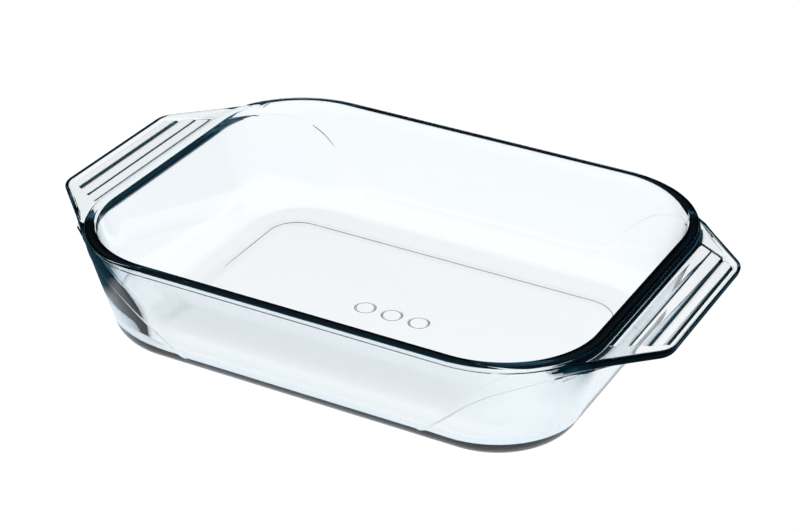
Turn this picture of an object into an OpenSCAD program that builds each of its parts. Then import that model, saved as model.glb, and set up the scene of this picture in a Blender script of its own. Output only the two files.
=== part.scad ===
// Rectangular glass roasting dish with two flat wing handles.
// The real dish is one pressing of glass. Here each region of it is a node of its own,
// and neighbouring regions meet face to face.
// Origin: centre of the dish on the surface it stands on. +X along the length, +Z up.

/* [Rim] */
// Length of the rim, without the handles
rim_l = 322; // [300:1:330]
// Width of the rim
rim_w = 250; // [230:1:270]
// Corner radius of the rim's outer edge
rim_r = 65; // [58:1:72]
// Width of the rim's top
rim_t = 7; // [6:0.5:8]
// Rounding of the rim's two top edges
edge_r = 2.5; // [1:0.25:2.5]
// Height of the upright band under the rim's top
band_h = 9; // [9:0.5:12]

/* [Walls] */
// Height of the dish
dish_h = 70; // [62:1:76]
// Slope of the outer wall from upright, in degrees
outer_draft = 16.5; // [13:0.5:17]
// Slope of the inner wall from upright, in degrees
inner_draft = 13.5; // [11:0.5:14]
// Radius of the heel, where the outer wall turns under
heel_r = 13; // [9:1:14]
// Radius of the fillet between the inner wall and the floor
fillet_r = 18; // [14:1:20]

/* [Floor] */
// Thickness of the floor over the foot
floor_t = 7; // [5.5:0.5:8]
// Length of the recessed panel under the floor
panel_l = 234; // [200:1:238]
// Width of the recessed panel under the floor
panel_w = 150; // [120:1:156]
// Corner radius of the recessed panel
panel_r = 20; // [12:1:26]
// Depth of the recessed panel
panel_depth = 1.2; // [0.8:0.1:2]

/* [Base mark] */
// Number of rings in the mark under the floor
ring_count = 3; // [1:1:5]
// Outer radius of each ring
ring_r = 6.5; // [4:0.5:7]
// Width of each ring's band
ring_band = 1; // [0.6:0.1:2]
// How far each ring stands down from the panel
ring_h = 0.6; // [0.3:0.1:0.7]
// Distance from ring to ring
ring_pitch = 18; // [15:1:20]

/* [Handles] */
// Length over both handles
overall_l = 390; // [380:1:396]
// Drop from the rim's top to the handles' tops
wing_drop = 2.8; // [2:0.1:3]
// Thickness of a handle
wing_t = 6; // [5:0.25:6]
// Radius of a handle's two outer corners
wing_corner_r = 16; // [10:1:20]
// Half the length of the root, where a handle meets the rim
wing_root = 97; // [90:1:98]

/* [Grip] */
// Number of ribs in each handle's grip
rib_count = 3; // [2:1:4]
// Depth of the grip's pocket
grip_depth = 2.4; // [1.5:0.1:3]
// Gap from the rim to the pocket
grip_inner_gap = 3; // [2.5:0.5:6]
// Gap from the pocket to the handle's outer edge
grip_outer_gap = 3.5; // [3:0.5:6]
// Half the pocket's length along its outer side
grip_outer_half = 49; // [40:0.5:50]
// Half the pocket's length along its inner side
grip_inner_half = 65.5; // [55:0.5:68]
// Flat strip of pocket floor beside each rib
grip_groove = 0.8; // [0.5:0.1:1.5]

/* [Hidden] */
$fn = 96;

glass_colour = [0.78, 0.88, 0.9, 0.5];
edge_colour = [0.45, 0.66, 0.7, 0.6];

// The wall's section is drawn with x = 0 at the rim's outer edge and the cavity at
// negative x, so that one outline serves the straight walls and the turned corners.
band_z = dish_h - band_h;
heel_x = -(band_z - heel_r * (1 - sin(outer_draft))) * tan(outer_draft)
    - heel_r * cos(outer_draft);
heel_tangent = [heel_x + heel_r * cos(outer_draft), heel_r * (1 - sin(outer_draft))];
inner_top_z = dish_h - edge_r;
fillet_z = floor_t + fillet_r;
fillet_tangent_z = fillet_z - fillet_r * sin(inner_draft);
fillet_tangent_x = -rim_t - (inner_top_z - fillet_tangent_z) * tan(inner_draft);
fillet_x = fillet_tangent_x - fillet_r * cos(inner_draft);

// Half sizes of the rim, and the centres of its corners
half_l = rim_l / 2;
half_w = rim_w / 2;
corner_x = half_l - rim_r;
corner_y = half_w - rim_r;

// The floor reaches out to where the walls' fillets begin
floor_l = rim_l + 2 * fillet_x;
floor_w = rim_w + 2 * fillet_x;
floor_r = rim_r + fillet_x;

// A handle's side is the 45 degree tangent of the rim's corner
half_overall = overall_l / 2;
wing_z = dish_h - wing_drop;
side_sum = corner_x + corner_y + rim_r * sqrt(2);
wing_arc_x = half_overall - wing_corner_r;
wing_arc_y = side_sum - half_overall - wing_corner_r * tan(22.5);
wing_arc_end = wing_corner_r * sqrt(0.5);

// The grip's pocket, and the pitch of its ribs
grip_floor_z = wing_z - grip_depth;
grip_in_x = half_l + grip_inner_gap;
grip_out_x = half_overall - grip_outer_gap;
rib_pitch = (grip_out_x - grip_in_x) / rib_count;

module rounded_rectangle(l, w, r) {
    square([l - 2 * r, w], center = true);
    square([l, w - 2 * r], center = true);
    for (sx = [-1, 1], sy = [-1, 1])
        translate([sx * (l / 2 - r), sy * (w / 2 - r)]) circle(r);
}

// Section of the wall: heel, outer wall, rim, inner wall and the fillet to the floor
module wall_section() {
    difference() {
        union() {
            polygon([
                [fillet_x, 0], [heel_x, 0], [heel_x, heel_r], heel_tangent,
                [0, band_z], [0, dish_h - edge_r],
                [-edge_r, dish_h - edge_r], [-edge_r, dish_h],
                [-rim_t + edge_r, dish_h], [-rim_t + edge_r, inner_top_z],
                [-rim_t, inner_top_z], [fillet_tangent_x, fillet_tangent_z],
                [fillet_x, fillet_z]
            ]);
            translate([heel_x, heel_r]) circle(heel_r);
            translate([-edge_r, dish_h - edge_r]) circle(edge_r);
            translate([-rim_t + edge_r, inner_top_z]) circle(edge_r);
        }
        translate([fillet_x, fillet_z]) circle(fillet_r);
    }
}

module straight_wall(reach, run) {
    translate([reach, 0, 0])
        rotate([90, 0, 0])
            linear_extrude(run, center = true) wall_section();
}

module corner_wall(turn) {
    sx = (turn == 0 || turn == 270) ? 1 : -1;
    sy = turn < 180 ? 1 : -1;
    translate([sx * corner_x, sy * corner_y, 0])
        rotate([0, 0, turn])
            rotate_extrude(angle = 90) translate([rim_r, 0]) wall_section();
}

module base() {
    color(glass_colour)
        difference() {
            linear_extrude(floor_t) rounded_rectangle(floor_l, floor_w, floor_r);
            translate([0, 0, -panel_depth])
                linear_extrude(2 * panel_depth)
                    rounded_rectangle(panel_l, panel_w, panel_r);
        }
}

module right_wall() {
    color(glass_colour) straight_wall(half_l, 2 * corner_y);
}

module left_wall() {
    color(glass_colour) rotate([0, 0, 180]) straight_wall(half_l, 2 * corner_y);
}

module back_wall() {
    color(glass_colour) rotate([0, 0, 90]) straight_wall(half_w, 2 * corner_x);
}

module front_wall() {
    color(glass_colour) rotate([0, 0, -90]) straight_wall(half_w, 2 * corner_x);
}

module back_right_corner() {
    color(glass_colour) corner_wall(0);
}

module back_left_corner() {
    color(glass_colour) corner_wall(90);
}

module front_left_corner() {
    color(glass_colour) corner_wall(180);
}

module front_right_corner() {
    color(glass_colour) corner_wall(270);
}

// Outline of the right handle from above, cut back to the rim
module wing_outline() {
    difference() {
        union() {
            for (sy = [-1, 1])
                translate([wing_arc_x, sy * wing_arc_y]) circle(wing_corner_r);
            polygon([
                [corner_x, -wing_root], [side_sum - wing_root, -wing_root],
                [wing_arc_x + wing_arc_end, -wing_arc_y - wing_arc_end],
                [wing_arc_x, -wing_arc_y], [half_overall, -wing_arc_y],
                [half_overall, wing_arc_y], [wing_arc_x, wing_arc_y],
                [wing_arc_x + wing_arc_end, wing_arc_y + wing_arc_end],
                [side_sum - wing_root, wing_root], [corner_x, wing_root]
            ]);
        }
        rounded_rectangle(rim_l, rim_w, rim_r);
    }
}

// Outline of the right grip's pocket from above
module grip_outline() {
    polygon([[grip_out_x, grip_outer_half], [grip_in_x, grip_inner_half],
        [grip_in_x, -grip_inner_half], [grip_out_x, -grip_outer_half]]);
}

// One rib in section: tall at the side nearer the rim, sloping down outwards
module rib_section(inner_x) {
    polygon([[inner_x, grip_floor_z], [inner_x + rib_pitch - grip_groove, grip_floor_z],
        [inner_x, wing_z]]);
}

module handle() {
    difference() {
        translate([0, 0, wing_z - wing_t]) linear_extrude(wing_t) wing_outline();
        translate([0, 0, grip_floor_z]) linear_extrude(2 * grip_depth) grip_outline();
    }
}

module grip_ribs() {
    for (i = [0 : rib_count - 1])
        intersection() {
            translate([0, 0, grip_floor_z]) linear_extrude(grip_depth) grip_outline();
            rotate([90, 0, 0])
                linear_extrude(2 * grip_inner_half, center = true)
                    rib_section(grip_in_x + i * rib_pitch);
        }
}

module right_handle() {
    color(glass_colour) handle();
}

module left_handle() {
    color(glass_colour) rotate([0, 0, 180]) handle();
}

module right_grip_ribs() {
    color(edge_colour) grip_ribs();
}

module left_grip_ribs() {
    color(edge_colour) rotate([0, 0, 180]) grip_ribs();
}

// A plain row of rings, standing down from the recessed panel
module base_mark() {
    color(edge_colour)
        for (i = [0 : ring_count - 1])
            translate([(i - (ring_count - 1) / 2) * ring_pitch, 0, panel_depth - ring_h])
                difference() {
                    cylinder(h = ring_h, r = ring_r);
                    translate([0, 0, -ring_h]) cylinder(h = 3 * ring_h, r = ring_r - ring_band);
                }
}

base();
front_wall();
back_wall();
left_wall();
right_wall();
front_left_corner();
front_right_corner();
back_left_corner();
back_right_corner();
left_handle();
right_handle();
left_grip_ribs();
right_grip_ribs();
base_mark();
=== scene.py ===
"""Rectangular glass roasting dish with two flat wing handles, on a white light table."""

import math

import bpy
import numpy as np
from mathutils import Matrix, Vector
from mathutils.geometry import delaunay_2d_cdt


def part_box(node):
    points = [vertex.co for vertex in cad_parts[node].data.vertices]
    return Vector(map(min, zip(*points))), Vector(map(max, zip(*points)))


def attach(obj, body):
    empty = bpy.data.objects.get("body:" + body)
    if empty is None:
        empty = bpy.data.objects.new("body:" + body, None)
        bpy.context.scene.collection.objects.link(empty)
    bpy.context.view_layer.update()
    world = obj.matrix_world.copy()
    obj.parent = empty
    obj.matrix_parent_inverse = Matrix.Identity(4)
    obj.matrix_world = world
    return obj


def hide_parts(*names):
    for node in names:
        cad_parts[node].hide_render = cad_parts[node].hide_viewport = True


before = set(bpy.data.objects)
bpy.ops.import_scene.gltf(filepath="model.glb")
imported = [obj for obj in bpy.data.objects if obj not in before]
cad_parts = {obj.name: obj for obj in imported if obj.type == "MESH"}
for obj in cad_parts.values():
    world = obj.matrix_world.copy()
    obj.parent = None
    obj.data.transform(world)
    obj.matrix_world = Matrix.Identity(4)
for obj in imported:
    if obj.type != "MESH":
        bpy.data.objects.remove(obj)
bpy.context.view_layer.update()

# ---------------------------------------------------------------- sizes, in millimetres
MM = 0.001


def node_span(*names):
    """Half length, half width and height of the box round these nodes."""
    corners = np.array([[list(c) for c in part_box(n)] for n in names]) / MM
    lo = corners[:, 0].min(axis=0)
    hi = corners[:, 1].max(axis=0)
    return (hi[0] - lo[0]) / 2, (hi[1] - lo[1]) / 2, hi[2]


WALLS = ("front_wall", "back_wall", "left_wall", "right_wall")
RIM_A, RIM_B, DISH_H = node_span(*WALLS)          # rim's outer edge and height
WING_X, _, WING_Z = node_span("left_handle", "right_handle")
CORNER_X = node_span("front_wall")[0]             # where the rim's corners begin
RIM_R = RIM_A - CORNER_X
CORNER_Y = RIM_B - RIM_R
FLOOR_T = node_span("base")[2]                    # thickness of the floor
GRIP_OUT = node_span("left_grip_ribs", "right_grip_ribs")[0]

RIM_T = 7.0
RIM_OUTER_R = 1.8       # rounding of the rim's two edges
RIM_INNER_R = 2.2
RIM_CROWN = 0.15        # how much the rim's top is domed
BAND_TOP = DISH_H - RIM_CROWN - RIM_OUTER_R
PARTING_Z = DISH_H - 3.6        # the mould's parting line, a fine groove round the rim
PARTING_DEPTH = 0.25
PARTING_HALF = 0.35
OUTER_DRAFT = math.radians(16.5)
INNER_DRAFT = math.radians(13.5)
HEEL_R = 16.0           # outside, between the walls and the foot
FILLET_R = 12.0         # inside, between the walls and the floor
CORNER_EXTRA = 9.0      # the inside's corners are rounder than the outside's by this
BEND_Z = DISH_H - 9.0   # where the upright band meets the sloping wall
BEND_R = 38.0

PANEL = (117.0, 75.0, 20.0)     # recess under the floor: half length, half width, corner
PANEL_DEPTH = 0.8
PANEL_SOFT = 6.5        # half the width of its gentle step
PANEL_LINE_H = 0.3      # the part of the step that is crisp, along the back only
PANEL_LINE = 0.2        # and the half width of that
INNER_RING = (62.0, 20.0, 16.0)     # the mesh's last ring, which the raised rings stand inside
MARK_R = 6.5            # raised rings under the floor: outer radius, width and height
MARK_BAND = 1.0
MARK_H = 0.6
MARK_PITCH = 18.0
MARK_COUNT = 3
MARK_STEPS = 64
FILL_PITCH = 4          # spacing of the mesh round the raised rings
FILL_GAP = 1.5
SUPPORT = 0.4           # flat strip beside a curve, which keeps its shading off the flat

WING_T = 6.0
WING_CORNER_R = 16.0    # rounding of a handle's corners, seen from above
WING_TOP_R = 1.5        # rounding of a handle's top edge
WING_LOW_R = 2.8        # and of its lower edge
WING_EDGE_DRAFT = math.radians(15)
UNDER_FILLET = 6.0      # under a handle, where it leaves the wall
UNDER_RISE = 0.4        # how much a handle thins from its root to its edge
TOP_FILLET = BAND_TOP - WING_Z      # above a handle, where it meets the rim
BLEND = 4.0             # a handle's form takes over from the rim's within this reach

GRIP_GROOVE = 0.8       # gap between the ribs and the pocket's outer side
GRIP_X = [164.0, 173.2, 182.3, GRIP_OUT + GRIP_GROOVE]      # the grip's grooves
GRIP_OUTER_HALF = 49.0  # half the pocket's length at its outer side
GRIP_INNER_HALF = 65.5  # and at its inner side
GRIP_CORNER = 3.0
GRIP_DEPTH = 1.0
GRIP_SOFT = 0.6         # width of the pocket's softened step
GRIP_LINES = [(0.45, 1.2), (0.4, 0.8), (0.7, 1.5), (0.55, 2.0)]     # half widths and depths

# a crease on a long wall: distance from the middle and height of its top, its two bends and
# its foot
CREASE = [(152, 60), (104, 52), (106, 32), (66, 3)]
CREASE_H = 0.75          # how far the wall steps in under it
CREASE_SOFT = 1.8        # width of that step
CREASE_LINE = 0.75       # half width of the fine ridge along the back wall's creases
CREASE_LINE_HEIGHTS = (1.2, 0.6)      # at the left and at the right
CREASE_NEAR = (0.25, 0.5, 0.75, 1.0, 1.4, 2.0, 3.0)      # mesh lines beside a crease
CREASE_FADE = 16.0       # and how soon the wall comes out again below it


# ---------------------------------------------------------------- camera
LENS = 100.84
AIM = (-2.62, 14.1, 30.0)
YAW = 0.47817
PITCH = 0.51169
ROLL = 0.0207
DISTANCE = 1329.3


def make_camera():
    """Camera at the photograph's angle, from the front right and above."""
    fwd = Vector((-math.sin(YAW) * math.cos(PITCH), math.cos(YAW) * math.cos(PITCH),
                  -math.sin(PITCH)))
    level = Vector((math.cos(YAW), math.sin(YAW), 0))
    upright = level.cross(fwd)
    right = math.cos(ROLL) * level + math.sin(ROLL) * upright
    up = -math.sin(ROLL) * level + math.cos(ROLL) * upright
    data = bpy.data.cameras.new("camera")
    data.lens = LENS
    data.sensor_width = 36
    data.clip_start = 0.05
    data.clip_end = 50
    cam = bpy.data.objects.new("camera", data)
    bpy.context.scene.collection.objects.link(cam)
    turn = Matrix((right, up, -fwd)).transposed().to_4x4()
    place = (Vector(AIM) - fwd * DISTANCE) * MM
    cam.matrix_world = Matrix.Translation(place) @ turn
    bpy.context.scene.camera = cam
    return cam


# ---------------------------------------------------------------- the dish's plan
def smooth(t):
    t = np.clip(t, 0, 1)
    return t * t * (3 - 2 * t)


TANGENT = math.radians(45)
SIDE_SUM = CORNER_X + CORNER_Y + RIM_R * math.sqrt(2)
WING_ARC_X = WING_X - WING_CORNER_R
WING_ARC_Y = SIDE_SUM - WING_X - WING_CORNER_R * math.tan(TANGENT / 2)
WING_ARC_LEN = WING_CORNER_R * TANGENT
TANGENT_X = CORNER_X + RIM_R * math.cos(TANGENT)
TANGENT_Y = CORNER_Y + RIM_R * math.sin(TANGENT)
ARC_END_X = WING_ARC_X + WING_CORNER_R * math.cos(TANGENT)
ARC_END_Y = WING_ARC_Y + WING_CORNER_R * math.sin(TANGENT)
WING_SIDE_LEN = math.hypot(ARC_END_X - TANGENT_X, ARC_END_Y - TANGENT_Y)
WING_HALF_LEN = WING_ARC_Y + WING_ARC_LEN + WING_SIDE_LEN


def grip_end_y(x):
    """Where the grip's slanting end crosses this distance from the middle."""
    slope = (GRIP_INNER_HALF - GRIP_OUTER_HALF) / (GRIP_X[0] - GRIP_X[-1])
    return GRIP_OUTER_HALF + slope * (x - GRIP_X[-1])


def wing_outline(run):
    """Point and outward normal on a handle's outline, this far along from its middle."""
    if run <= WING_ARC_Y:
        return (WING_X, run), (1.0, 0.0)
    if run <= WING_ARC_Y + WING_ARC_LEN:
        turn = (run - WING_ARC_Y) / WING_CORNER_R
        n = (math.cos(turn), math.sin(turn))
        return (WING_ARC_X + WING_CORNER_R * n[0], WING_ARC_Y + WING_CORNER_R * n[1]), n
    n = (math.cos(TANGENT), math.sin(TANGENT))
    left = WING_HALF_LEN - run
    return (TANGENT_X + left * n[1], TANGENT_Y - left * n[0]), n


def quarter_rows():
    """Rows round a quarter of the dish, from the right side's middle to the back's.

    Each row holds the two shares of the straight sides, the rim's normal, and the point
    and normal that it reaches on the handle's outline.
    """
    rows = []

    def add(sx, sy, angle, run):
        normal = (math.cos(angle), math.sin(angle))
        if run is None:
            point = (CORNER_X * sx + RIM_R * normal[0], CORNER_Y * sy + RIM_R * normal[1])
            rows.append((sx, sy, *normal, *point, *normal))
        else:
            point, outward = wing_outline(run)
            rows.append((sx, sy, *normal, *point, *outward))

    # across the grip, closer together at its end
    root_y = grip_end_y(RIM_A)
    tip_run = grip_end_y(WING_X)
    shares = list(np.linspace(0, 0.955, 26)) + list(np.linspace(0.963, 1.027, 25))
    for share in shares:
        y = share * root_y
        if y <= CORNER_Y:
            add(1, y / CORNER_Y, 0, share * tip_run)
        else:
            add(1, 1, math.asin((y - CORNER_Y) / RIM_R), share * tip_run)
    # along the handle's side, to the tangent where it runs into the rim
    last_turn = math.asin((shares[-1] * root_y - CORNER_Y) / RIM_R)
    last_left = WING_HALF_LEN - shares[-1] * tip_run
    full = TANGENT - last_turn
    extra = last_left - RIM_R * math.tan(full)
    turns = np.linspace(0, full, 400)
    lefts = RIM_R * np.tan(turns) + extra * (turns / full) ** 2
    wanted = list(np.linspace(last_left, WING_SIDE_LEN, 15)[1:])
    wanted += list(np.linspace(WING_SIDE_LEN, 0, 41)[1:])
    for left in wanted:
        turn = float(np.interp(left, lefts, turns))
        add(1, 1, TANGENT - turn, WING_HALF_LEN - left)
    # the rest of the corner, then the long side
    for angle in np.linspace(TANGENT, math.pi / 2, 44)[1:]:
        add(1, 1, angle, None)
    for x in list(np.linspace(CORNER_X, 60, 34)[1:]) + list(np.linspace(60, 0, 21)[1:]):
        add(x / CORNER_X, 1, math.pi / 2, None)
    return np.array(rows)


def all_rows():
    """The quarter's rows mirrored into a closed loop, anticlockwise from above."""
    q1 = quarter_rows()
    flip_x = np.array([-1, 1] * 4)
    flip_y = np.array([1, -1] * 4)
    q2 = q1[::-1][1:] * flip_x
    q3 = (q1 * flip_x * flip_y)[1:]
    q4 = (q1 * flip_y)[::-1][1:-1]
    return np.vstack([q1, q2, q3, q4])


ROWS = all_rows()
SHARE = ROWS[:, 0:2]
NORMAL = ROWS[:, 2:4]
TIP = ROWS[:, 4:6]
TIP_NORMAL = ROWS[:, 6:8]


def ring(a, b, r):
    """Every row's point on a rounded rectangle of these half sizes and corner radius."""
    return SHARE * np.array([a - r, b - r]) + NORMAL * r


def inset_ring(u, fuller=0.0):
    """The ring this far inside the rim's outer edge, with its corners fuller by this."""
    return ring(RIM_A - u, RIM_B - u, RIM_R - u + fuller)


def inner_fullness(z):
    """How much larger the inside's corner radius is at this height: corners are thicker."""
    return CORNER_EXTRA * float(smooth((DISH_H - 4 - z) / 40))


RIM_RING = inset_ring(0)
REACH = np.einsum("ij,ij->i", TIP - RIM_RING, NORMAL).clip(0, None)


# ---------------------------------------------------------------- the dish's section
# Distances are outward from the rim's outer edge, so that inside it they are negative.
HEEL_U = -(BEND_Z - HEEL_R * (1 - math.sin(OUTER_DRAFT))) * math.tan(OUTER_DRAFT) \
    - HEEL_R * math.cos(OUTER_DRAFT)
HEEL_TOP = HEEL_R * (1 - math.sin(OUTER_DRAFT))
BEND_REACH = BEND_R * math.tan(OUTER_DRAFT / 2)
BEND_START = BEND_Z - BEND_REACH * math.cos(OUTER_DRAFT)
BEND_END = BEND_Z + BEND_REACH
UNDER_Z = WING_Z - WING_T - UNDER_RISE   # the handle's underside at its root
BAND_START = UNDER_Z - UNDER_FILLET      # where the wall turns out into a handle


def outer_wall(z):
    """Distance outward of the outer wall at this height, above the heel."""
    z = np.asarray(z, float)
    line = (z - BEND_Z) * math.tan(OUTER_DRAFT)
    below = np.clip(BEND_END - z, 0, None)
    bend = -(BEND_R - np.sqrt(np.clip(BEND_R ** 2 - below ** 2, 0, None)))
    return np.where(z < BEND_START, line, bend)


def underside_columns():
    """Rings of the underside, from the middle of the recess to the heel."""
    columns = []
    middle = ring(*PANEL)
    crisp = PANEL_LINE_H * smooth((middle[:, 1] + 10) / 60)
    inner = middle - NORMAL * (PANEL_SOFT + SUPPORT)
    outer = middle + NORMAL * (PANEL_SOFT + SUPPORT)
    start = ring(*INNER_RING)
    foot = inset_ring(-HEEL_U + SUPPORT)
    for t in (0, 0.25, 0.5, 0.75, 1.0):
        columns.append((start + (inner - start) * t, PANEL_DEPTH))
    near = np.array([0.2, 0.4, 0.65, 0.85, 1.0]) * PANEL_SOFT
    fine = np.array([0, 0.5, 1, 2, 4]) * PANEL_LINE
    for step in np.concatenate([-near[::-1], -fine[:0:-1], fine, near]):
        gentle = 1 - smooth((step / PANEL_SOFT + 1) / 2)
        sharp = 1 - smooth((step / PANEL_LINE + 1) / 2)
        z = (PANEL_DEPTH - crisp) * gentle + crisp * sharp
        columns.append((middle + NORMAL * step, z))
    for t in (0, 0.33, 0.67, 1.0):
        columns.append((outer + (foot - outer) * t, 0.0))
    return columns


def heel_and_wall():
    """Section from the foot round the heel and up to where a handle may start."""
    columns = []
    for angle in np.linspace(-math.pi / 2, -OUTER_DRAFT, 15):
        flat = inset_ring(-HEEL_U - HEEL_R * math.cos(angle))
        columns.append((flat, np.full(len(ROWS), HEEL_R + HEEL_R * math.sin(angle))))
    low = HEEL_TOP + SUPPORT
    reach = CREASE_NEAR[-1]
    line = np.clip(crease_height(np.abs(RIM_RING[:, 0])), low + 1 + reach, BAND_START - 1 - reach)
    levels = [low + (line - reach - low) * t for t in np.linspace(0, 1, 22)]
    levels += [line - d for d in CREASE_NEAR[-2::-1]] + [line] + [line + d for d in CREASE_NEAR]
    levels += [line + reach + (BAND_START - line - reach) * t for t in np.linspace(0, 1, 22)[1:]]
    for z in levels:
        columns.append((RIM_RING + NORMAL * outer_wall(z)[:, None], z))
    return [(flat - crease_draw(flat, z), z) for flat, z in columns]


def wing_edge():
    """A handle's edge in section: insets from its outline and drops from its top."""
    c, t = math.cos(WING_EDGE_DRAFT), math.tan(WING_EDGE_DRAFT)
    low_z = WING_T - WING_LOW_R
    low_in = WING_LOW_R / c + (low_z - WING_TOP_R) * t + WING_TOP_R * (1 - 1 / c)
    section = []
    for a in np.linspace(0, math.pi / 2 - WING_EDGE_DRAFT, 9):
        section.append((low_in - WING_LOW_R * math.sin(a), low_z + WING_LOW_R * math.cos(a)))
    arc = []
    for a in np.linspace(-WING_EDGE_DRAFT, math.pi / 2, 10):
        arc.append((WING_TOP_R * (1 - math.cos(a)), WING_TOP_R * (1 - math.sin(a))))
    foot, head = section[-1], arc[0]
    for share in (0.33, 0.67):
        section.append((foot[0] + (head[0] - foot[0]) * share,
                        foot[1] + (head[1] - foot[1]) * share))
    return section + arc


def grip_columns():
    """Distances from the middle across a handle's top, outside to inside."""
    near = np.array([0.75, 0.5, 0.36, 0.24, 0.12, 0, -0.12, -0.24, -0.36, -0.5, -0.75])
    xs = []
    for i in (3, 2, 1, 0):
        xs += list(GRIP_X[i] + near)
        if i:
            xs += list(np.linspace(GRIP_X[i] - 0.75, GRIP_X[i - 1] + 0.75, 6)[1:-1])
    return xs


def grip_drop(points):
    """How far the handle's top lies under its flat level, at these points from above."""
    x = np.abs(points[:, 0])
    y = np.abs(points[:, 1])
    run = np.array([GRIP_X[-1] - GRIP_X[0], GRIP_INNER_HALF - GRIP_OUTER_HALF])
    end_normal = np.array([run[1], run[0]]) / np.hypot(*run)
    past_end = (x - GRIP_X[-1]) * end_normal[0] + (y - GRIP_OUTER_HALF) * end_normal[1]
    past_out = x - GRIP_X[-1]
    a = past_end + GRIP_CORNER
    b = past_out + GRIP_CORNER
    outside = np.hypot(a.clip(0, None), b.clip(0, None))
    outside += np.minimum(np.maximum(a, b), 0) - GRIP_CORNER
    outside = np.maximum(outside, GRIP_X[0] - x)
    inside = smooth(0.5 - outside / GRIP_SOFT)
    drop = np.full(len(x), GRIP_DEPTH)
    for line, (half, deep) in zip(GRIP_X, GRIP_LINES):
        line = min(max(line, GRIP_X[0] + half), GRIP_X[-1] - half)
        drop += deep * np.exp(-((x - line) / half) ** 2)
    return drop * inside


def handle_steps():
    """The rings of a handle's section, and each one's share of the rim's upright band."""
    under = [("root", a) for a in np.linspace(0, math.pi / 2, 10)]
    below = [("under", t) for t in (0.15, 0.4, 0.7, 0.9)]
    edge = [("edge", p) for p in wing_edge()]
    top = [("top", x) for x in grip_columns()]
    over = [("over", a) for a in np.linspace(0, math.pi / 2, 9)]
    steps = under + below + edge + top + over
    weights = [1.0] * len(under) + [0.8] * len(below) + [0.5] * len(edge)
    weights += [0.12] * len(top) + [0.3] * len(over)
    place = np.cumsum(weights)
    return zip(steps, (place - place[0]) / (place[-1] - place[0]))


def handle_columns():
    """Rings from the wall, under a handle, round its edge, over it and up to the rim.

    Where there is no handle the same rings lie along the rim's upright band.
    """
    upright = BAND_TOP - BAND_START
    low_inset = wing_edge()[0][0]
    scale = np.clip(REACH / (low_inset + UNDER_FILLET), 0, 1)[:, None]
    mix = smooth(REACH / BLEND)
    over_start = RIM_RING + NORMAL * TOP_FILLET * scale
    under_start = RIM_RING + NORMAL * UNDER_FILLET * scale
    low_tip = TIP - TIP_NORMAL * low_inset * scale
    top_tip = TIP - TIP_NORMAL * WING_TOP_R * scale
    wall_u = float(outer_wall(BAND_START))
    columns = []
    for (kind, value), t in handle_steps():
        band_z = BAND_START + t * upright
        groove = math.exp(-((band_z - PARTING_Z) / PARTING_HALF) ** 2)
        band_u = float(outer_wall(band_z)) - PARTING_DEPTH * groove
        root_u = 0.0
        if kind == "root":
            part = 1 - math.cos(value)
            root_u = wall_u * (1 - part)
            flat = RIM_RING + NORMAL * UNDER_FILLET * part * scale
            z = BAND_START + UNDER_FILLET * math.sin(value)
        elif kind == "under":
            flat = under_start + (low_tip - under_start) * value
            z = UNDER_Z + UNDER_RISE * value
        elif kind == "edge":
            flat = TIP - TIP_NORMAL * value[0] * scale
            z = WING_Z - value[1]
        elif kind == "top":
            start_x = RIM_A + TOP_FILLET
            end_x = WING_X - WING_TOP_R
            part = (value - start_x) / (end_x - start_x)
            flat = over_start + (top_tip - over_start) * part
            z = WING_Z - grip_drop(flat) * mix
        else:
            part = TOP_FILLET * (1 - math.sin(value))
            flat = RIM_RING + NORMAL * part * scale
            z = WING_Z + TOP_FILLET * (1 - math.cos(value))
        base = band_u * (1 - mix) + root_u * mix
        flat = flat + NORMAL * base[:, None]
        flat = flat - crease_draw(flat, band_z) * (1 - mix)[:, None]
        columns.append((flat, band_z * (1 - mix) + z * mix))
    return columns


def rim_and_inside():
    """Section over the rim, down the inner wall and round the fillet to the floor."""
    section = []
    for angle in np.linspace(0, math.pi / 2, 12)[1:]:
        section.append((RIM_OUTER_R * (math.cos(angle) - 1),
                        BAND_TOP + RIM_OUTER_R * math.sin(angle)))
    flat = RIM_T - RIM_OUTER_R - RIM_INNER_R
    for t in (0.15, 0.3, 0.5, 0.7, 0.85, 1.0):
        crown = RIM_CROWN * (1 - (2 * t - 1) ** 2)
        section.append((-RIM_OUTER_R - flat * t, DISH_H - RIM_CROWN + crown))
    centre = (-RIM_OUTER_R - flat, DISH_H - RIM_CROWN - RIM_INNER_R)
    for angle in np.linspace(math.pi / 2, math.pi - INNER_DRAFT, 14)[1:]:
        section.append((centre[0] + RIM_INNER_R * math.cos(angle),
                        centre[1] + RIM_INNER_R * math.sin(angle)))
    top_u, top_z = section[-1]
    fillet_z = FLOOR_T + FILLET_R
    low_z = fillet_z - FILLET_R * math.sin(INNER_DRAFT)
    low_u = top_u - (top_z - low_z) * math.tan(INNER_DRAFT)
    for t in (0.008, *np.linspace(0.008, 0.992, 20)[1:], 1.0):
        section.append((top_u + (low_u - top_u) * t, top_z + (low_z - top_z) * t))
    centre_u = low_u - FILLET_R * math.cos(INNER_DRAFT)
    for angle in np.linspace(INNER_DRAFT, math.pi / 2, 18)[1:]:
        section.append((centre_u + FILLET_R * math.cos(angle),
                        fillet_z - FILLET_R * math.sin(angle)))
    return section


def crease_height(x):
    """Height of the curved creases on the long walls, this far from the middle."""
    top, bend, next_bend, foot = np.array(CREASE, float)
    t = np.linspace(1, 0, 200)[:, None]
    curve = top * (1 - t) ** 3 + 3 * bend * t * (1 - t) ** 2
    curve += 3 * next_bend * t ** 2 * (1 - t) + foot * t ** 3
    return np.interp(x, curve[:, 0], curve[:, 1])


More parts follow.
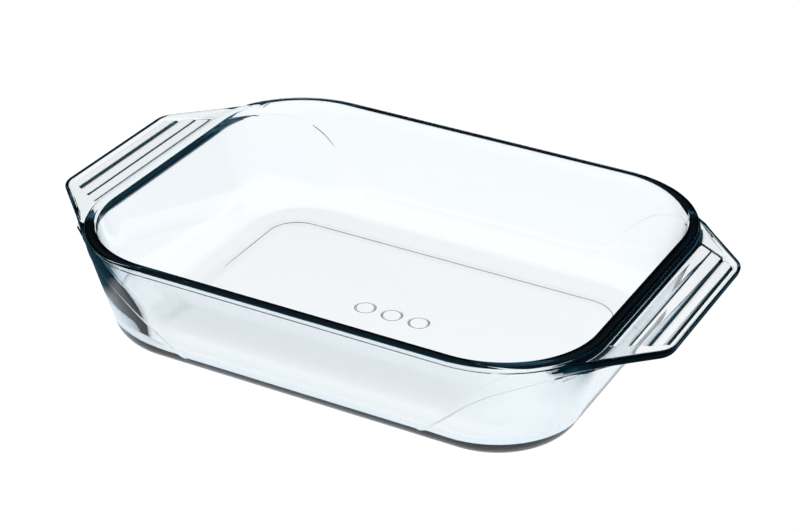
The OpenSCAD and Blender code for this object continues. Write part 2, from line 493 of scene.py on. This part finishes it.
def crease_draw(points, heights):
    """How the long walls draw in under each of the four curved creases."""
    x = np.abs(points[:, 0])
    slope = (crease_height(x + 3) - crease_height(x - 3)) / 6
    under = (crease_height(x) - heights) / np.sqrt(1 + slope ** 2)
    step = smooth(under / CREASE_SOFT + 0.5) * np.exp(-np.clip(under, 0, None) / CREASE_FADE)
    ends = smooth((x - 68) / 14) * smooth((152 - x) / 8)
    low = smooth((heights - 3) / 9)
    back = smooth(points[:, 1] / 40) * smooth((x - 88) / 30)
    high = np.where(points[:, 0] < 0, *CREASE_LINE_HEIGHTS)
    ridge = high * np.exp(-(under / CREASE_LINE) ** 2) * back
    draw = (CREASE_H * step * low - ridge) * ends * np.abs(NORMAL[:, 1])
    return NORMAL * draw[:, None]


def mark_gap(x, y):
    """Distance from this point of the recess to the nearest ring's flat collar."""
    middles = (np.arange(MARK_COUNT) - (MARK_COUNT - 1) / 2) * MARK_PITCH
    return min(math.hypot(x - m, y) for m in middles) - MARK_R - SUPPORT


def recess_gap(x, y):
    """Distance from this point inside the innermost ring of the underside to that ring."""
    a, b, r = INNER_RING
    dx = max(abs(x) - (a - r), 0)
    dy = max(abs(y) - (b - r), 0)
    return r - math.hypot(dx, dy)


def mark_faces(verts, outer_loop):
    """Fills the middle of the recess, with its row of raised rings. Looks down -Z."""
    steps = MARK_STEPS
    faces = []
    holes = []
    band = MARK_BAND / 2
    mid = MARK_R - band
    collar = 1 + SUPPORT / band
    profile = [(math.cos(a), math.sin(a)) for a in np.linspace(0, math.pi, 9)]
    profile = [(collar, 0)] + profile + [(-collar, 0)]
    for n in range(MARK_COUNT):
        centre = (n - (MARK_COUNT - 1) / 2) * MARK_PITCH
        loops = []
        for c, s in profile:
            radius = mid + band * c
            loop = []
            for k in range(steps):
                turn = 2 * math.pi * k / steps
                loop.append(len(verts))
                verts.append(((centre + radius * math.cos(turn)) * MM,
                              radius * math.sin(turn) * MM,
                              (PANEL_DEPTH - MARK_H * s) * MM))
            loops.append(loop)
        for a, b in zip(loops[:-1], loops[1:]):
            for k in range(steps):
                m = (k + 1) % steps
                faces.append((a[k], b[k], b[m], a[m]))
        faces.append(tuple(reversed(loops[-1])))
        holes.append(loops[0])
    rings = [outer_loop] + holes
    border = [v for loop in rings for v in loop]
    points = [Vector((verts[v][0], verts[v][1])) / MM for v in border]
    edges = []
    for loop in rings:
        first = border.index(loop[0])
        edges += [(first + k, first + (k + 1) % len(loop)) for k in range(len(loop))]
    xs = np.arange(2 - INNER_RING[0], INNER_RING[0], FILL_PITCH)
    ys = np.arange(2 - INNER_RING[1], INNER_RING[1], FILL_PITCH)
    fill = [Vector((x, y)) for x in xs for y in ys
            if mark_gap(x, y) > FILL_GAP and recess_gap(x, y) > FILL_GAP]
    filled = delaunay_2d_cdt(points + fill, edges, [], 0, 1e-5)
    names = []
    for where, source in zip(filled[0], filled[3]):
        if source and source[0] < len(border):
            names.append(border[source[0]])
        else:
            names.append(len(verts))
            verts.append((where[0] * MM, where[1] * MM, PANEL_DEPTH * MM))
    for tri in filled[2]:
        middle = sum((filled[0][i] for i in tri), Vector((0, 0))) / 3
        if mark_gap(*middle) > 0:
            faces.append(tuple(names[i] for i in reversed(tri)))
    return faces


def dish_mesh():
    """The whole dish as one closed mesh of rings and rows."""
    columns = underside_columns()
    columns += heel_and_wall()
    columns += handle_columns()[1:]
    for u, z in rim_and_inside():
        columns.append((inset_ring(-u, inner_fullness(z)), z))
    last = rim_and_inside()[-1]
    outer = [p + last[0] - SUPPORT for p in (RIM_A, RIM_B, RIM_R)]
    outer[2] += CORNER_EXTRA
    for t in (0, 0.2, 0.45, 0.7, 1.0):
        size = [p + (q - p) * t for p, q in zip(outer, INNER_RING)]
        columns.append((ring(*size), FLOOR_T))

    count = len(ROWS)
    grid = np.zeros((len(columns), count, 3))
    for j, (flat, z) in enumerate(columns):
        grid[j, :, :2] = flat
        grid[j, :, 2] = z
    verts = [tuple(p) for p in (grid.reshape(-1, 3) * MM)]
    faces = []
    for j in range(len(columns) - 1):
        for i in range(count):
            k = (i + 1) % count
            faces.append((j * count + i, j * count + k, (j + 1) * count + k,
                          (j + 1) * count + i))
    top = (len(columns) - 1) * count
    faces.append(tuple(range(top, top + count)))
    faces += mark_faces(verts, list(range(count)))
    mesh = bpy.data.meshes.new("glass_dish")
    mesh.from_pydata(verts, [], faces)
    mesh.validate(verbose=False)
    mesh.polygons.foreach_set("use_smooth", [True] * len(mesh.polygons))
    mesh.update()
    return mesh


# ---------------------------------------------------------------- materials
# Floor and sky colours for light that left the glass after 0, 1, 2 ... reflections: painted
# shade, which makes the light reflected inside the rim, the heel and the corners dark teal, while
# what is seen straight through stays white.
# painted shade: dark teal for light that reflected two or more times in the glass
PAINTED_TEAL_SHADE = [(0.03, 0.09, 0.12), (0.008, 0.035, 0.05), (0.003, 0.018, 0.027),
          (0.001, 0.010, 0.016)]
# each: the plain glow seen straight through, then painted colours for light reflected once, twice
# and more; round the dish and in the sky these are painted shade
FLOOR_GLOW_AND_SHADE = [(0.945, 0.955, 0.965), (0.035, 0.10, 0.14), *PAINTED_TEAL_SHADE]
UNDER_GLOW_AND_SHADE = [(1, 1, 1), (0.86, 0.90, 0.94), *PAINTED_TEAL_SHADE]
SKY_GLOW_AND_SHADE = [(1, 1, 1), (0.10, 0.16, 0.20), *PAINTED_TEAL_SHADE]
FLOOR_STRENGTH = 1.12
# the floor's painted colours change from those under the dish to those round it over this span
FLOOR_FADE = (1.0, 1.12)        # from under the dish to round it, in shares of the rim's box
FLOOR_HALF = 12.0               # metres
FLOOR_GAP = 0.0005
SKY_RISE = (0.35, 0.75)         # height over the horizon at which the sky brightens
SKY_LOW = 0.06                  # its share of brightness below that

GLASS_IOR = 1.474
GLASS_TINT = (0.15, 0.58, 0.80, 1)
GLASS_DENSITY = 9.0
WAVE_SCALE = 28.0
WAVE_STRENGTH = 0.25
WAVE_HEIGHT = 0.0006


def clear_glass():
    """Clear tempered glass: slightly teal inside, with a faint pressed waviness."""
    mat = bpy.data.materials.new("clear_glass")
    mat.use_nodes = True
    tree = mat.node_tree
    nodes = tree.nodes
    nodes.clear()
    out = nodes.new("ShaderNodeOutputMaterial")
    shader = nodes.new("ShaderNodeBsdfPrincipled")
    shader.inputs["Base Color"].default_value = (1, 1, 1, 1)
    shader.inputs["Transmission Weight"].default_value = 1.0
    shader.inputs["Roughness"].default_value = 0.0
    shader.inputs["IOR"].default_value = GLASS_IOR
    tree.links.new(shader.outputs["BSDF"], out.inputs["Surface"])
    coords = nodes.new("ShaderNodeTexCoord")
    waves = nodes.new("ShaderNodeTexNoise")
    waves.inputs["Scale"].default_value = WAVE_SCALE
    waves.inputs["Detail"].default_value = 1.0
    bump = nodes.new("ShaderNodeBump")
    bump.inputs["Strength"].default_value = WAVE_STRENGTH
    bump.inputs["Distance"].default_value = WAVE_HEIGHT
    tree.links.new(coords.outputs["Object"], waves.inputs["Vector"])
    tree.links.new(waves.outputs["Fac"], bump.inputs["Height"])
    tree.links.new(bump.outputs["Normal"], shader.inputs["Normal"])
    absorb = nodes.new("ShaderNodeVolumeAbsorption")
    absorb.inputs["Color"].default_value = GLASS_TINT
    absorb.inputs["Density"].default_value = GLASS_DENSITY
    tree.links.new(absorb.outputs["Volume"], out.inputs["Volume"])
    return mat


def by_reflections(tree, colours):
    """A colour for light that reflected 0, 1, 2 ... times in or on the glass on its way; the
    floor and the sky use it to paint shade.
    """
    path = tree.nodes.new("ShaderNodeLightPath")
    scale = tree.nodes.new("ShaderNodeMath")
    scale.operation = "DIVIDE"
    scale.inputs[1].default_value = len(colours) - 1
    scale.use_clamp = True
    ramp = tree.nodes.new("ShaderNodeValToRGB")
    tree.links.new(path.outputs["Glossy Depth"], scale.inputs[0])
    tree.links.new(scale.outputs[0], ramp.inputs["Fac"])
    stops = ramp.color_ramp.elements
    stops[0].color = (*colours[0], 1)
    stops[1].color = (*colours[-1], 1)
    for n, colour in enumerate(colours[1:-1], 1):
        stops.new(n / (len(colours) - 1)).color = (*colour, 1)
    return ramp.outputs["Color"]


def light_table():
    """White floor that glows evenly for what is seen straight, and paints dark teal shade on
    light that reflected in the glass.
    """
    mat = bpy.data.materials.new("light_table")
    mat.use_nodes = True
    tree = mat.node_tree
    nodes = tree.nodes
    nodes.clear()
    out = nodes.new("ShaderNodeOutputMaterial")
    glow = nodes.new("ShaderNodeEmission")
    coords = nodes.new("ShaderNodeTexCoord")
    reach = nodes.new("ShaderNodeVectorMath")
    reach.operation = "ABSOLUTE"
    share = nodes.new("ShaderNodeVectorMath")
    share.operation = "MULTIPLY"
    share.inputs[1].default_value = (1 / (RIM_A * MM), 1 / (RIM_B * MM), 0)
    split = nodes.new("ShaderNodeSeparateXYZ")
    beyond = nodes.new("ShaderNodeMath")
    beyond.operation = "MAXIMUM"
    fade = nodes.new("ShaderNodeMapRange")
    fade.interpolation_type = "SMOOTHSTEP"
    fade.inputs["From Min"].default_value = FLOOR_FADE[0]
    fade.inputs["From Max"].default_value = FLOOR_FADE[1]
    tree.links.new(coords.outputs["Object"], reach.inputs[0])
    tree.links.new(reach.outputs[0], share.inputs[0])
    tree.links.new(share.outputs[0], split.inputs[0])
    tree.links.new(split.outputs["X"], beyond.inputs[0])
    tree.links.new(split.outputs["Y"], beyond.inputs[1])
    tree.links.new(beyond.outputs[0], fade.inputs["Value"])
    mix = nodes.new("ShaderNodeMix")
    mix.data_type = "RGBA"
    tree.links.new(fade.outputs["Result"], mix.inputs["Factor"])
    # painted shade: the floor's colour depends on how many times the light reflected in the glass
    tree.links.new(by_reflections(tree, UNDER_GLOW_AND_SHADE), mix.inputs["A"])
    tree.links.new(by_reflections(tree, FLOOR_GLOW_AND_SHADE), mix.inputs["B"])
    tree.links.new(mix.outputs["Result"], glow.inputs["Color"])
    glow.inputs["Strength"].default_value = FLOOR_STRENGTH
    tree.links.new(glow.outputs["Emission"], out.inputs["Surface"])
    return mat


# ---------------------------------------------------------------- the scene
def make_dish():
    mesh = dish_mesh()
    dish = bpy.data.objects.new("glass_dish", mesh)
    bpy.context.scene.collection.objects.link(dish)
    mesh.materials.append(clear_glass())
    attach(dish, "root")
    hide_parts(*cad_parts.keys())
    return dish


def make_floor():
    corners = [(-1, -1), (1, -1), (1, 1), (-1, 1)]
    verts = [(x * FLOOR_HALF, y * FLOOR_HALF, -FLOOR_GAP) for x, y in corners]
    mesh = bpy.data.meshes.new("floor")
    mesh.from_pydata(verts, [], [(0, 1, 2, 3)])
    floor = bpy.data.objects.new("floor", mesh)
    bpy.context.scene.collection.objects.link(floor)
    mesh.materials.append(light_table())
    return floor


def make_world():
    """White round the floor; for reflections, dim at the horizon and bright overhead, with
    painted shade that dims and tints the sky teal the more the light reflected in the glass.
    """
    world = bpy.data.worlds.new("studio")
    bpy.context.scene.world = world
    world.use_nodes = True
    tree = world.node_tree
    nodes = tree.nodes
    nodes.clear()
    out = nodes.new("ShaderNodeOutputWorld")
    coords = nodes.new("ShaderNodeTexCoord")
    split = nodes.new("ShaderNodeSeparateXYZ")
    rise = nodes.new("ShaderNodeMapRange")
    rise.interpolation_type = "SMOOTHSTEP"
    rise.inputs["From Min"].default_value = SKY_RISE[0]
    rise.inputs["From Max"].default_value = SKY_RISE[1]
    rise.inputs["To Min"].default_value = SKY_LOW
    rise.inputs["To Max"].default_value = 1.0
    tree.links.new(coords.outputs["Generated"], split.inputs["Vector"])
    tree.links.new(split.outputs["Z"], rise.inputs["Value"])
    over = nodes.new("ShaderNodeBackground")
    # painted shade: the sky's colour depends on how many times the light reflected in the glass
    tree.links.new(by_reflections(tree, SKY_GLOW_AND_SHADE), over.inputs["Color"])
    tree.links.new(rise.outputs["Result"], over.inputs["Strength"])
    white = nodes.new("ShaderNodeBackground")
    white.inputs["Color"].default_value = (1, 1, 1, 1)
    mix = nodes.new("ShaderNodeMixShader")
    tree.links.new(by_reflections(tree, [(1, 1, 1), (0, 0, 0)]), mix.inputs["Fac"])
    tree.links.new(over.outputs["Background"], mix.inputs[1])
    tree.links.new(white.outputs["Background"], mix.inputs[2])
    tree.links.new(mix.outputs["Shader"], out.inputs["Surface"])


def set_view():
    scene = bpy.context.scene
    scene.view_settings.view_transform = "Standard"
    scene.view_settings.look = "None"
    scene.cycles.max_bounces = 24
    scene.cycles.transmission_bounces = 24
    scene.cycles.glossy_bounces = 12
    scene.cycles.transparent_max_bounces = 16
    scene.cycles.caustics_refractive = True
    scene.cycles.caustics_reflective = True


make_camera()
make_dish()
make_floor()
make_world()
set_view()
